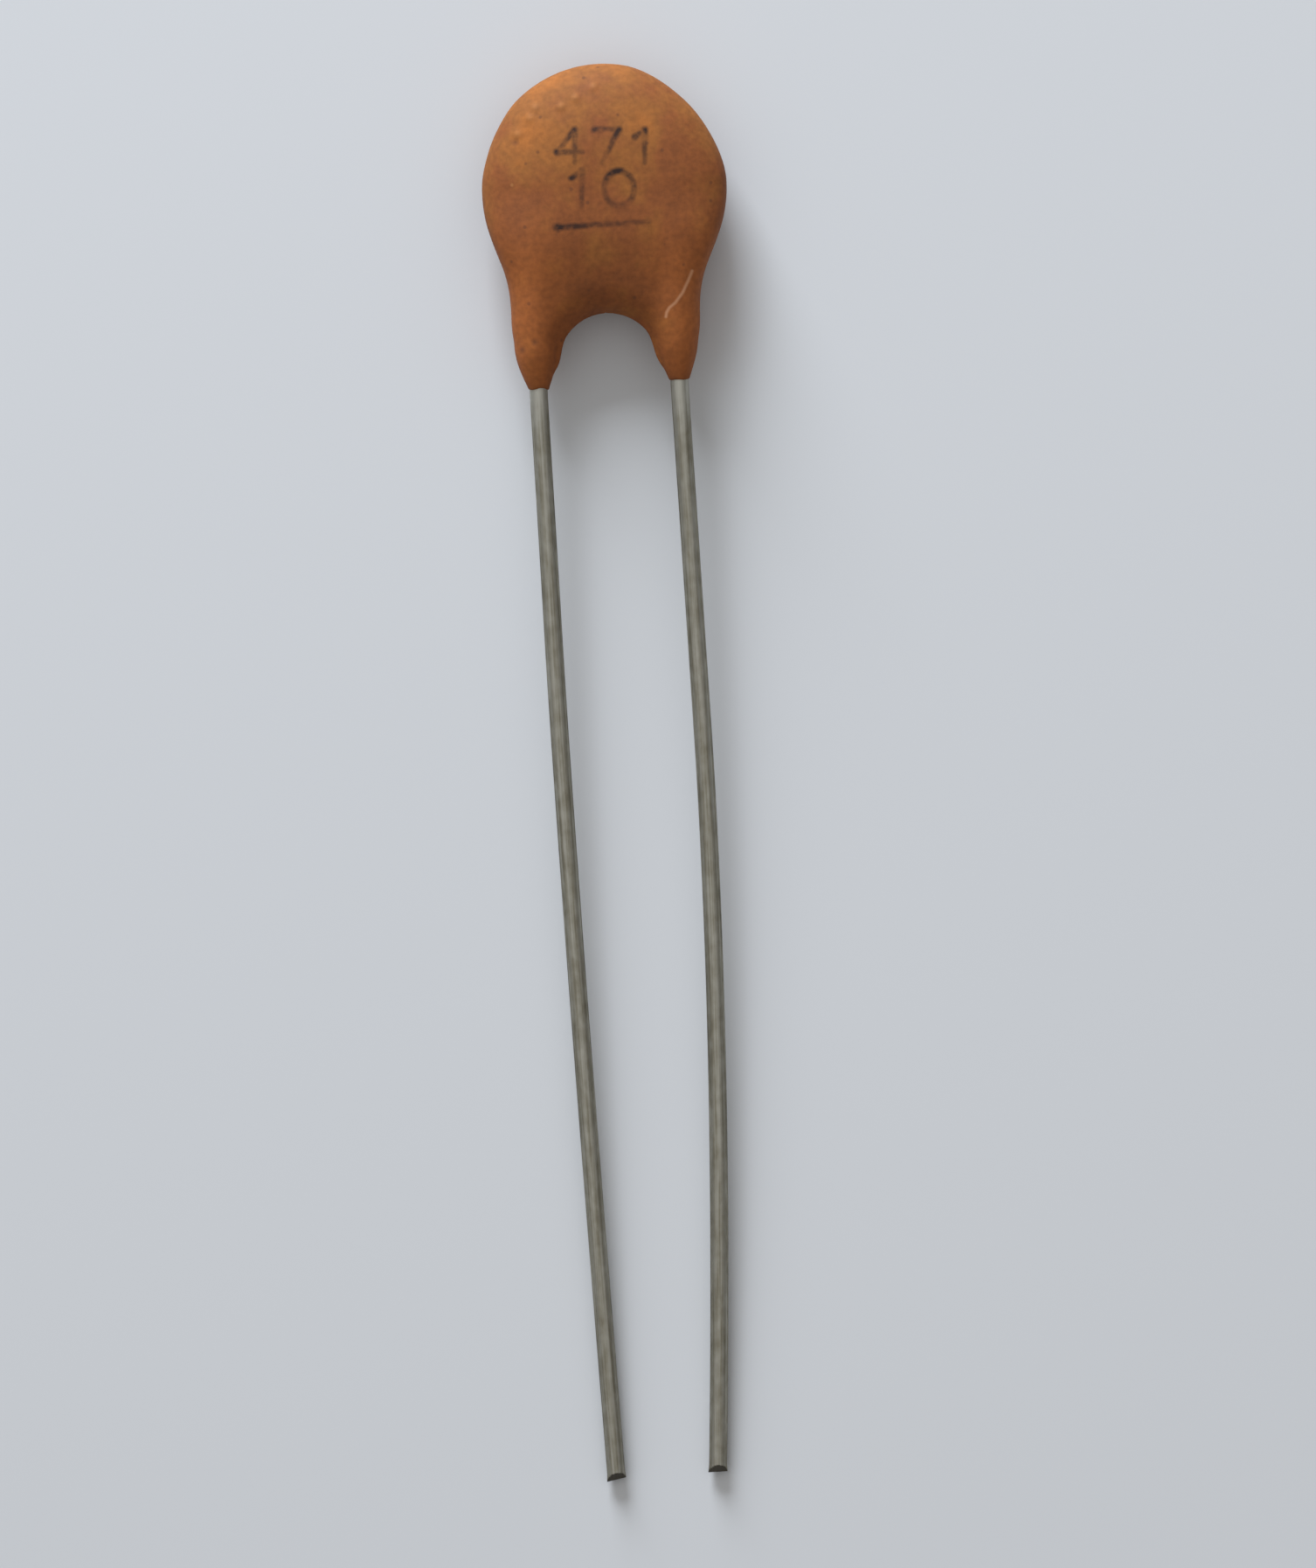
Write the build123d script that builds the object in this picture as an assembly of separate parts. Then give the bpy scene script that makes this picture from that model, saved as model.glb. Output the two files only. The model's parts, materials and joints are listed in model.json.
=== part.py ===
"""Dipped disc capacitor, lying on a table: a coated ceramic disc with two wire leads.

Lengths are in millimetres. The disc's axis is +Z, its centre is over the origin, and the
underside of the coating rests on z = 0. The leads run towards -Y and come down to the table.
"""

import os
from math import cos, pi, sqrt, tan

from build123d import *

# Driving dimensions
DIELECTRIC_DIAMETER = 6.6
DIELECTRIC_THICKNESS = 0.6
ELECTRODE_MARGIN = 0.4
ELECTRODE_THICKNESS = 0.03
LEAD_DIAMETER = 0.65
LEAD_PITCH = 5.0
LEAD_LENGTH = 38.78
SOLDER_FILM = 0.05
SOLDER_COVER = 0.22
SOLDER_HALF_LENGTH = 1.3
COAT_FACE_COVER = 0.57
COAT_RIM_COVER = 1.05
COAT_FLAT_DEPTH = 0.03
LEG_COVER = 0.475
LEG_EDGE = 0.045
ARCH_DROP = 0.14
LEG_LENGTH_LEFT = 2.7
LEG_LENGTH_RIGHT = 2.48
LEG_TAPER = 1.15
EXIT_DROP = 0.15

# How the coating swells and narrows: exponents and shares of its own sizes
RIM_SHARE = 0.76
FLANK_SHARPNESS = 1.1
THINNING_SHARPNESS = 1.5
FLANK_SPAN_SHARE = 1.06
THINNING_SPAN_SHARE = 1.24
FLANK_SPARE_SHARE = 0.06
LEG_THIN_SHARE = 0.95
ARCH_ROUND_SHARE = 1.3
LEG_ROOT_SHARE = 0.78
LEG_KNEE_SHARES = (0.55, 0.68)
LEG_NARROW_SHARE = 0.3
LEG_SLIM_SHARE = 0.2
SOLDER_REACH_SHARE = 0.75
STATIONS = 8

# Route of a lead: (share of the free length, sideways drift as a share of it)
LEFT_ROUTE_SHARES = ((0.4565, 0.0162), (1, 0.047))
RIGHT_ROUTE_SHARES = ((0.6155, 0.026), (1, 0.0109))
BEND_SHARE = 0.5
CRANK_TOP_SHARES = (0.42, 0.667)
LEAD_TIP_SHARES = (0.16, 0.14)
CRANK_BEND = 1.0
EXIT_BEND = 5.0
CUT_ANGLE = 48

# Sizes that follow from the ones above
lead_radius = LEAD_DIAMETER / 2
half_pitch = LEAD_PITCH / 2
dielectric_half = DIELECTRIC_THICKNESS / 2
electrode_top = dielectric_half + ELECTRODE_THICKNESS
electrode_diameter = DIELECTRIC_DIAMETER - 2 * ELECTRODE_MARGIN
wire_height = electrode_top + SOLDER_FILM + lead_radius
coat_half = wire_height + lead_radius + COAT_FACE_COVER
coat_swell = coat_half + COAT_FLAT_DEPTH
coat_radius = DIELECTRIC_DIAMETER / 2 + COAT_RIM_COVER
leg_radius = lead_radius + LEG_COVER
leg_half_width = half_pitch + leg_radius * (1 + FLANK_SPARE_SHARE)
leg_half_thickness = leg_radius * LEG_THIN_SHARE
arch_radius = half_pitch - leg_radius
arch_top = coat_radius + ARCH_DROP
arch_centre = arch_top + arch_radius
bevel_length = lead_radius / tan(CUT_ANGLE * pi / 180)
tip_height = lead_radius - bevel_length * (coat_half - lead_radius) / LEAD_LENGTH


def section(half_width, half_thickness, y):
    """Closed section across the leads' direction: two shallow faces joined smoothly by round rims."""
    rim = half_thickness * RIM_SHARE
    inset = half_width - rim
    face = (inset**2 + half_thickness**2 - rim**2) / (2 * (half_thickness - rim))
    lean = inset / (face - rim)
    across = inset + rim * lean
    up = rim * sqrt(1 - lean**2)
    outline = [
        ThreePointArc((-across, up), (0, half_thickness), (across, up)),
        ThreePointArc((across, up), (half_width, 0), (across, -up)),
        ThreePointArc((across, -up), (0, -half_thickness), (-across, -up)),
        ThreePointArc((-across, -up), (-half_width, 0), (-across, up)),
    ]
    plane = Plane(origin=(0, y, coat_half), x_dir=(1, 0, 0), z_dir=(0, -1, 0))
    return plane * make_face(outline)


def fade(distance, span, sharpness):
    """Smooth fall from 1 at the disc's centre line to 0 at the end of the span."""
    part = min(distance / span, 1) ** sharpness
    return (1 + cos(pi * part)) / 2


def disc_dome():
    """Upper half of the dipped disc, round about the disc's axis."""
    half = split(section(coat_radius, coat_swell, 0), bisect_by=Plane.YZ, keep=Keep.TOP)
    return revolve(half, Axis.Z, 180)


def shoulder_sections():
    """Sections from the middle of the disc down to the legs."""
    sections = []
    for i in range(STATIONS + 1):
        down = arch_centre * i / STATIONS
        wide = fade(down, coat_radius * FLANK_SPAN_SHARE, FLANK_SHARPNESS)
        thick = fade(down, coat_radius * THINNING_SPAN_SHARE, THINNING_SHARPNESS)
        half_width = leg_half_width + (coat_radius - leg_half_width) * wide
        half_thickness = leg_half_thickness + (coat_swell - leg_half_thickness) * thick
        low = 1 - fade(max(down - arch_top, 0), arch_radius, 1)
        half_width -= leg_radius * LEG_NARROW_SHARE * low
        half_thickness -= leg_radius * LEG_SLIM_SHARE * low
        sections.append(section(half_width, half_thickness, -down))
    return sections


def arch_cutter():
    """Waisted plug that leaves the arch between the legs with a rounded lip."""
    lip_height = leg_radius * ARCH_ROUND_SHARE
    outer = arch_radius + leg_radius
    waist = ThreePointArc((outer, lip_height), (arch_radius, 0), (outer, -lip_height))
    side = Polyline(
        (outer, lip_height),
        (outer, coat_swell + lip_height),
        (0, coat_swell + lip_height),
        (0, -coat_swell - lip_height),
        (outer, -coat_swell - lip_height),
        (outer, -lip_height),
    )
    profile = Plane.XZ * make_face(waist + side)
    return Pos(0, -arch_centre, coat_half) * revolve(profile, Axis.Z, 360)


def leg(x, length):
    """Run-down on one lead, tapering to a thin edge on the wire."""
    exit_radius = lead_radius + LEG_EDGE
    exit_y = -arch_top - length
    root_y = -coat_radius * LEG_ROOT_SHARE
    knee_radius = exit_radius + (leg_radius - exit_radius) * LEG_KNEE_SHARES[1]
    outline = Polyline(
        (0, root_y),
        (leg_radius, root_y),
        (leg_radius, exit_y + LEG_TAPER),
        (knee_radius, exit_y + LEG_TAPER * LEG_KNEE_SHARES[0]),
        (exit_radius, exit_y),
        (0, exit_y),
        close=True,
    )
    return Pos(x, 0, coat_half) * revolve(make_face(outline), Axis.Y, 360)


def lead_points(side, length, route):
    """Corners of a lead's centre line, from its soldered end to its cut end."""
    free_top = -arch_top - length
    rise = wire_height * -side
    points = [
        (side * coat_radius * LEAD_TIP_SHARES[0], coat_radius * LEAD_TIP_SHARES[1], coat_half + rise),
        (side * LEAD_PITCH * CRANK_TOP_SHARES[0], -coat_radius * CRANK_TOP_SHARES[1], coat_half + rise),
        (side * half_pitch, -arch_top, coat_half),
        (side * half_pitch, free_top - EXIT_DROP, coat_half),
    ]
    for along, drift in route:
        points.append(
            (
                side * half_pitch + LEAD_LENGTH * drift,
                free_top - LEAD_LENGTH * along,
                coat_half - (coat_half - tip_height) * along,
            )
        )
    return [Vector(*p) for p in points]


def bend_radii(points):
    """Crank and exit bends have set radii; the free bends take a share of the runs they join."""
    radii = [CRANK_BEND, CRANK_BEND, EXIT_BEND]
    for before, here, after in zip(points[3:], points[4:], points[5:]):
        turn = (here - before).get_angle(after - here) * pi / 180
        run = min((here - before).length, (after - here).length)
        radii.append(run * BEND_SHARE / tan(turn / 2))
    return radii


def lead(side, length, route):
    """Drawn round wire, cranked onto its face of the disc, with a pinched cut at the free end."""
    points = lead_points(side, length, route)
    path = FilletPolyline(*points, radius=bend_radii(points))
    start = Plane(origin=points[0], z_dir=points[1] - points[0])
    wire = sweep(start * Circle(lead_radius), path=path, transition=Transition.ROUND)
    way = (points[-1] - points[-2]).normalized()
    across = way.cross(Vector(0, 0, 1)).normalized()
    waste = 4 * LEAD_DIAMETER
    for turn in (90 - CUT_ANGLE, CUT_ANGLE - 90):
        face = way.rotate(Axis((0, 0, 0), across), turn)
        blade = Plane(origin=points[-1], x_dir=across, z_dir=face)
        wire -= blade * Box(waste, waste, waste, align=(Align.CENTER, Align.CENTER, Align.MIN))
    return wire


def solder_bead(points, face_up):
    """Bead of solder around the end of a lead, standing on the electrode."""
    way = (points[1] - points[0]).normalized()
    centre = points[0] + way * (SOLDER_HALF_LENGTH * SOLDER_REACH_SHARE)
    bead = Plane(origin=centre, z_dir=way) * Cylinder(lead_radius + SOLDER_COVER, 2 * SOLDER_HALF_LENGTH)
    side = Align.MAX if face_up else Align.MIN
    level = coat_half + electrode_top if face_up else coat_half - electrode_top
    below = Box(coat_radius * 2, coat_radius * 2, coat_half, align=(Align.CENTER, Align.CENTER, side))
    return bead - Pos(0, 0, level) * below


def main():
    """Build every node and write it out."""
    os.makedirs("parts", exist_ok=True)

    left_lead = lead(-1, LEG_LENGTH_LEFT, LEFT_ROUTE_SHARES)
    right_lead = lead(1, LEG_LENGTH_RIGHT, RIGHT_ROUTE_SHARES)
    dielectric = Pos(0, 0, coat_half) * Cylinder(DIELECTRIC_DIAMETER / 2, DIELECTRIC_THICKNESS)
    layer = dielectric_half + ELECTRODE_THICKNESS / 2
    front_electrode = Pos(0, 0, coat_half + layer) * Cylinder(electrode_diameter / 2, ELECTRODE_THICKNESS)
    rear_electrode = Pos(0, 0, coat_half - layer) * Cylinder(electrode_diameter / 2, ELECTRODE_THICKNESS)
    front_bead = solder_bead(lead_points(-1, LEG_LENGTH_LEFT, LEFT_ROUTE_SHARES), True)
    rear_bead = solder_bead(lead_points(1, LEG_LENGTH_RIGHT, RIGHT_ROUTE_SHARES), False)

    skin = disc_dome() + loft(shoulder_sections()) - arch_cutter()
    skin += leg(-half_pitch, LEG_LENGTH_LEFT)
    skin += leg(half_pitch, LEG_LENGTH_RIGHT)
    slab = Box(4 * arch_centre, 4 * arch_centre, 2 * coat_half)
    skin = skin & Pos(0, 0, coat_half) * slab

    coating = skin
    for inner in (dielectric, front_electrode, rear_electrode, front_bead, rear_bead, left_lead, right_lead):
        coating -= inner

    export_step(coating, "parts/coating.step")
    export_step(dielectric, "parts/dielectric_disc.step")
    export_step(front_electrode, "parts/front_electrode.step")
    export_step(rear_electrode, "parts/rear_electrode.step")
    export_step(front_bead - left_lead, "parts/front_solder.step")
    export_step(rear_bead - right_lead, "parts/rear_solder.step")
    export_step(left_lead, "parts/left_lead.step")
    export_step(right_lead, "parts/right_lead.step")


main()
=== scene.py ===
"""Dipped disc capacitor with two drawn wire leads, lying on a pale table.

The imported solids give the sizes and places. The resin coat is meshed from a blended field, so that
disc, legs and arch run into each other as the dip left them. The leads are lofted ring by ring along
their routes, with the die lines and pinched ends of cut wire. Lengths are millimetres in the fields
and metres in the scene.
"""

from __future__ import annotations

import json
import logging
import math
from dataclasses import dataclass
from enum import Enum
from typing import Any

import bpy
import numpy as np
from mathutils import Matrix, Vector

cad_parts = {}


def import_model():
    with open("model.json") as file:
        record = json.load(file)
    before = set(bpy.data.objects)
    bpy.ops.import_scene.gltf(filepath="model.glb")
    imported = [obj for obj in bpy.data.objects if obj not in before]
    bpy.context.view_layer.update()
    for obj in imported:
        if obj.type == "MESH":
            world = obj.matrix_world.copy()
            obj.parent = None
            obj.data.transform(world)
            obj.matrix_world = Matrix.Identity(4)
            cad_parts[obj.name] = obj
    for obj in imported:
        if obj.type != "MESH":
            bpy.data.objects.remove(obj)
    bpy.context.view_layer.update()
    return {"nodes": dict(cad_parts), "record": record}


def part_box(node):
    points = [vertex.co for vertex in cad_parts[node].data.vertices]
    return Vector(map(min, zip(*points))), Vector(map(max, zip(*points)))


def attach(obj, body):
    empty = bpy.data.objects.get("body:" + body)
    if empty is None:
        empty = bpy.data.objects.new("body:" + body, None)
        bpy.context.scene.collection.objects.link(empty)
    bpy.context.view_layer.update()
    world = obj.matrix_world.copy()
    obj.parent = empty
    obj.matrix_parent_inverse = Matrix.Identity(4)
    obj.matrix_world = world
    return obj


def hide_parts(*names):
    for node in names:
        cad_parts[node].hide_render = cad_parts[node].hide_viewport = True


MM = 0.001
TINY = 1e-6
BODY = "root"
LOG = logging.getLogger("capacitor")

# Socket numbers of a range node and of a colour mix, whose names are shared by their other kinds
FROM_LOW, FROM_HIGH, TO_LOW, TO_HIGH = 1, 2, 3, 4
UNDER, OVER, MIXED = 6, 7, 2

Tree = bpy.types.NodeTree
Socket = bpy.types.NodeSocket
Colour = tuple[float, float, float, float]
Pair = tuple[float, float]
Pixel = tuple[float, float]
PixelBox = tuple[float, float, float, float]


class Side(Enum):
    """The two leads, by the side of the disc that they leave."""

    LEFT = -1
    RIGHT = 1


def srgb(code: str) -> Colour:
    """Turn an sRGB hex colour into linear light.

    Args:
        code: Six hex digits, with or without a leading hash.

    Returns:
        Linear red, green, blue and an alpha of 1.
    """
    digits = code.lstrip("#")
    channels = [int(digits[i : i + 2], 16) / 255 for i in (0, 2, 4)]
    # The standard's own curve, straight near black and a power above
    linear = [c / 12.92 if c <= 0.04045 else ((c + 0.055) / 1.055) ** 2.4 for c in channels]
    return linear[0], linear[1], linear[2], 1.0


def per_metre(size_mm: float) -> float:
    """Give the texture scale at which one pattern cell is size_mm wide in the scene."""
    return 1 / (size_mm * MM)


def add(tree: Tree, kind: str, inputs: dict[Any, Any] | None = None, **settings: Any) -> bpy.types.Node:
    """Add one node with its settings and links.

    Args:
        tree: The node tree that takes the node.
        kind: The node's type name.
        inputs: Socket name or number to a value, or to the output socket that feeds it.
        settings: Properties of the node; stops sets the colours of a ramp.

    Returns:
        The new node.
    """
    node = tree.nodes.new(kind)
    stops = settings.pop("stops", None)
    for name, value in settings.items():
        setattr(node, name, value)
    if stops:
        while len(node.color_ramp.elements) < len(stops):
            node.color_ramp.elements.new(1.0)
        for element, (place, colour) in zip(node.color_ramp.elements, stops):
            element.position = place
            element.color = colour
    for socket, value in (inputs or {}).items():
        if isinstance(value, bpy.types.NodeSocket):
            tree.links.new(value, node.inputs[socket])
        else:
            node.inputs[socket].default_value = value
    return node


def new_material(name: str) -> tuple[bpy.types.Material, Tree]:
    """Make an empty node material.

    Args:
        name: The material's name.

    Returns:
        The material and its cleared node tree.
    """
    material = bpy.data.materials.new(name)
    material.use_nodes = True
    material.node_tree.nodes.clear()
    return material, material.node_tree


def mesh_piece(name: str, points: np.ndarray, faces: list[tuple[int, ...]] | np.ndarray) -> bpy.types.Object:
    """Make a smooth-shaded mesh object from points in millimetres.

    Args:
        name: The piece's name.
        points: Corner places, one row each.
        faces: Corner numbers of each face.

    Returns:
        The object, linked into the scene.
    """
    mesh = bpy.data.meshes.new(name)
    mesh.from_pydata((points * MM).tolist(), [], [tuple(int(i) for i in face) for face in faces])
    mesh.validate()
    mesh.polygons.foreach_set("use_smooth", np.ones(len(mesh.polygons), dtype=bool))
    mesh.update()
    piece = bpy.data.objects.new(name, mesh)
    bpy.context.scene.collection.objects.link(piece)
    return piece


def mark(piece: bpy.types.Object, name: str, values: np.ndarray) -> None:
    """Store one number for each corner of a mesh, for its finish to read."""
    piece.data.attributes.new(name, "FLOAT", "POINT").data.foreach_set("value", values)


def blend_min(a: np.ndarray, b: np.ndarray, width: float) -> np.ndarray:
    """Join two fields with a fillet about as wide as width."""
    near = np.maximum(width - np.abs(a - b), 0) / width
    return np.minimum(a, b) - near * near * width / 4


def blend_max(a: np.ndarray, b: np.ndarray, width: float) -> np.ndarray:
    """Cut one field by another with a rounded edge about as wide as width."""
    return -blend_min(-a, -b, width)


def fade(distance: np.ndarray, span: float, sharpness: float = 1.0) -> np.ndarray:
    """Fall smoothly from 1 at no distance to 0 at the span."""
    share = np.clip(distance / span, 0, 1) ** sharpness
    return (1 + np.cos(np.pi * share)) / 2


def surface_nets(values: np.ndarray, low: np.ndarray, cell: float) -> tuple[np.ndarray, np.ndarray]:
    """Mesh the zero surface of a sampled field with one corner in each crossed cell.

    Args:
        values: The field on a regular grid, negative inside.
        low: Place of the grid's first sample.
        cell: Grid spacing.

    Returns:
        Corner places and quads of corner numbers, facing outwards.
    """
    shape = np.array(values.shape) - 1
    total = np.zeros((*shape, 3))
    count = np.zeros(shape)
    grid = np.stack(np.meshgrid(*(np.arange(n) for n in shape), indexing="ij"), axis=-1)
    corner = [np.array([i, j, k]) for i in (0, 1) for j in (0, 1) for k in (0, 1)]
    for first in corner:
        for axis in range(3):
            if first[axis]:
                continue
            second = first.copy()
            second[axis] = 1
            a = values[tuple(slice(s, s + n) for s, n in zip(first, shape))]
            b = values[tuple(slice(s, s + n) for s, n in zip(second, shape))]
            crossed = (a < 0) != (b < 0)
            share = np.where(crossed, a / np.where(crossed, a - b, 1), 0)
            spot = first + share[..., None] * (second - first)
            total += np.where(crossed[..., None], spot, 0)
            count += crossed
    active = count > 0
    number = np.full(shape, -1)
    number[active] = np.arange(int(active.sum()))
    points = low + (grid[active] + total[active] / count[active][:, None]) * cell
    quads = []
    for axis in range(3):
        side, other = [i for i in range(3) if i != axis]
        core = [slice(1, -1)] * 3
        core[axis] = slice(None, -1)
        ahead = list(core)
        ahead[axis] = slice(1, None)
        a, b = values[tuple(core)], values[tuple(ahead)]
        where = np.argwhere((a < 0) != (b < 0))
        entering = (a >= 0)[tuple(where.T)]
        base = where.copy()
        base[:, side] += 1
        base[:, other] += 1
        ring = []
        for back_side, back_other in ((0, 0), (1, 0), (1, 1), (0, 1)):
            cell_at = base.copy()
            cell_at[:, side] -= back_side
            cell_at[:, other] -= back_other
            ring.append(number[tuple(cell_at.T)])
        quad = np.stack(ring, axis=1)
        # The middle axis runs the other way round the ring
        flip = entering if axis != 1 else ~entering
        quad[flip] = quad[flip][:, ::-1]
        quads.append(quad)
    return points, np.concatenate(quads)


@dataclass(frozen=True)
class PhotoView:
    """Straight-down view of the table, framed as the photograph is."""

    width_px: int = 1506
    height_px: int = 1794
    pixels_per_mm: float = 32.28
    disc_px: Pixel = (691.5, 213.0)
    roll_deg: float = 1.4
    distance_mm: float = 600.0
    level_mm: float = 1.6
    near_mm: float = 10.0
    sensor_mm: float = 36.0

    def place(self, across_px: float, down_px: float) -> Vector:
        """Find the table place under a pixel of the photograph.

        Args:
            across_px: Pixels from the left edge.
            down_px: Pixels from the top edge.

        Returns:
            The place in millimetres.
        """
        turn = math.radians(self.roll_deg)
        right = (across_px - self.disc_px[0]) / self.pixels_per_mm
        down = (down_px - self.disc_px[1]) / self.pixels_per_mm
        x = right * math.cos(turn) - down * math.sin(turn)
        y = -right * math.sin(turn) - down * math.cos(turn)
        return Vector((x, y, 0.0))

    def build(self) -> bpy.types.Object:
        """Make the camera over the middle of the photograph's frame.

        Returns:
            The camera, set as the scene's own.
        """
        data = bpy.data.cameras.new("photo_view")
        data.sensor_fit = "VERTICAL"
        data.sensor_height = self.sensor_mm
        data.lens = self.sensor_mm * self.distance_mm * self.pixels_per_mm / self.height_px
        data.clip_start = self.near_mm * MM
        camera = bpy.data.objects.new("photo_view", data)
        middle = self.place(self.width_px / 2, self.height_px / 2)
        camera.location = Vector((middle.x, middle.y, self.level_mm + self.distance_mm)) * MM
        camera.rotation_euler = (0.0, 0.0, math.radians(-self.roll_deg))
        bpy.context.scene.collection.objects.link(camera)
        bpy.context.scene.camera = camera
        return camera


@dataclass(frozen=True)
class Blemishes:
    """Specks of grit under the skin and pits in it, placed by pixels of the photograph."""

    view: PhotoView
    grit_px: tuple[Pixel, ...] = (
        (679, 100),
        (658, 113),
        (642, 123),
        (612, 124),
        (606, 136),
        (592, 155),
    )
    pit_px: tuple[Pixel, ...] = ((590, 164), (612, 392), (598, 401))
    size_mm: float = 0.15
    height_mm: float = 0.045
    depth_mm: float = 0.012

    def places(self, spots_px: tuple[Pixel, ...]) -> list[Vector]:
        """List the table places under some pixels."""
        return [self.view.place(*spot) for spot in spots_px]

    def relief(self, x: np.ndarray, y: np.ndarray) -> np.ndarray:
        """Give how far the skin stands out over the grit, and sinks into the pits.

        Args:
            x: Places across the disc.
            y: Places along the leads.

        Returns:
            Heights over the smooth skin.
        """
        total = np.zeros_like(x)
        for spots, height in ((self.grit_px, self.height_mm), (self.pit_px, -self.depth_mm)):
            for spot in self.places(spots):
                total += height * np.exp(-((x - spot.x) ** 2 + (y - spot.y) ** 2) / self.size_mm**2)
        return total


# Straight strokes of the plain digits, as shares across and up each digit's box
DIGIT_STROKES: dict[str, tuple[tuple[Pair, Pair], ...]] = {
    "1": (((0.2, 0.78), (0.55, 1.0)), ((0.55, 1.0), (0.55, 0.0))),
    "4": (((0.7, 1.0), (0.05, 0.32)), ((0.05, 0.32), (1.0, 0.32)), ((0.7, 1.0), (0.7, 0.0))),
    "7": (((0.05, 1.0), (0.95, 1.0)), ((0.95, 1.0), (0.35, 0.0))),
}


@dataclass(frozen=True)
class Stamp:
    """Ink stamp on the coat: plain numbers over a bar, placed by pixels of the photograph."""

    view: PhotoView
    stroke_mm: float = 0.2
    rows: tuple[tuple[str, PixelBox], ...] = (
        ("471", (636, 150, 752, 188)),
        ("10", (648, 197, 725, 238)),
    )
    round_digit: str = "0"
    bar_px: tuple[Pixel, Pixel] = ((637, 262), (744, 255))
    blob_px: tuple[Pixel, Pixel] = ((638, 262), (645, 261))
    blob_weight: float = 1.35
    gap_share: float = 0.34
    # The ink is full within the first share of a stroke's half width, and ends at the second
    edge_shares: Pair = (0.45, 1.5)
    # A stroke starts broad and wet, and ends slim and dry
    width_shares: Pair = (1.15, 0.8)
    dry_share: float = 0.5

    def cells(self) -> list[tuple[str, PixelBox]]:
        """Share out each row among its digits.

        Returns:
            Each digit with the pixel box that it fills.
        """
        found = []
        for text, (left, top, right, bottom) in self.rows:
            wide = (right - left) / (len(text) + (len(text) - 1) * self.gap_share)
            for place, digit in enumerate(text):
                start = left + place * wide * (1 + self.gap_share)
                found.append((digit, (start, top, start + wide, bottom)))
        return found

    def spot(self, box: PixelBox, share: Pair) -> Vector:
        """Give the place at shares across and up a digit's box."""
        left, top, right, bottom = box
        return self.view.place(left + (right - left) * share[0], bottom + (top - bottom) * share[1])

    def strokes(self) -> list[tuple[Vector, Vector, float]]:
        """List the straight strokes on the disc's face.

        Returns:
            Both ends and the weight of each stroke.
        """
        found = [
            (*(self.view.place(*end) for end in self.bar_px), 1.0),
            (*(self.view.place(*end) for end in self.blob_px), self.blob_weight),
        ]
        for digit, box in self.cells():
            for ends in DIGIT_STROKES.get(digit, ()):
                found.append((*(self.spot(box, end) for end in ends), 1.0))
        return found

    def rings(self) -> list[tuple[Vector, Vector]]:
        """List the round digits.

        Returns:
            The middle and the two half sizes of each.
        """
        found = []
        for digit, box in self.cells():
            if digit == self.round_digit:
                middle = self.spot(box, (0.5, 0.5))
                found.append((middle, self.spot(box, (1.0, 1.0)) - middle))
        return found

    def stroke_group(self) -> Tree:
        """Make the node group that measures a straight stroke.

        Returns:
            A group that gives a point's distance from the stroke, and ink that is heaviest at its start.
        """
        group = bpy.data.node_groups.new("stroke", "ShaderNodeTree")
        for name in ("Point", "Start", "End"):
            group.interface.new_socket(name, in_out="INPUT", socket_type="NodeSocketVector")
        group.interface.new_socket("Half", in_out="INPUT", socket_type="NodeSocketFloat")
        for name in ("Distance", "Ink"):
            group.interface.new_socket(name, in_out="OUTPUT", socket_type="NodeSocketFloat")
        ends = add(group, "NodeGroupInput").outputs
        away = add(group, "ShaderNodeVectorMath", {0: ends["Point"], 1: ends["Start"]}, operation="SUBTRACT")
        run = add(group, "ShaderNodeVectorMath", {0: ends["End"], 1: ends["Start"]}, operation="SUBTRACT")
        away, run = away.outputs[0], run.outputs[0]
        along = add(group, "ShaderNodeVectorMath", {0: away, 1: run}, operation="DOT_PRODUCT")
        whole = add(group, "ShaderNodeVectorMath", {0: run, 1: run}, operation="DOT_PRODUCT")
        share = add(
            group,
            "ShaderNodeMath",
            {0: along.outputs["Value"], 1: whole.outputs["Value"]},
            operation="DIVIDE",
            use_clamp=True,
        ).outputs[0]
        foot = add(group, "ShaderNodeVectorMath", {0: run, "Scale": share}, operation="SCALE")
        gap = add(group, "ShaderNodeVectorMath", {0: away, 1: foot.outputs[0]}, operation="DISTANCE")
        gap = gap.outputs["Value"]
        broad, slim = self.width_shares
        width = add(group, "ShaderNodeMapRange", {0: share, TO_LOW: broad, TO_HIGH: slim})
        half = add(group, "ShaderNodeMath", {0: ends["Half"], 1: width.outputs[0]}, operation="MULTIPLY")
        off = add(group, "ShaderNodeMath", {0: gap, 1: half.outputs[0]}, operation="DIVIDE")
        full, end = self.edge_shares
        line = add(
            group,
            "ShaderNodeMapRange",
            {0: off.outputs[0], FROM_LOW: full, FROM_HIGH: end, TO_LOW: 1.0, TO_HIGH: 0.0},
        )
        drying = add(group, "ShaderNodeMapRange", {0: share, TO_LOW: 1.0, TO_HIGH: self.dry_share})
        ink = add(group, "ShaderNodeMath", {0: line.outputs[0], 1: drying.outputs[0]}, operation="MULTIPLY")
        add(group, "NodeGroupOutput", {"Distance": gap, "Ink": ink.outputs[0]})
        return group


@dataclass(frozen=True)
class Scatter:
    """Small spots scattered in the resin: colour, mean spacing, radius as a share of it, share left out."""

    colour: str
    spacing_mm: float
    reach_share: float
    empty_share: float
    strength: float = 0.5


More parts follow.
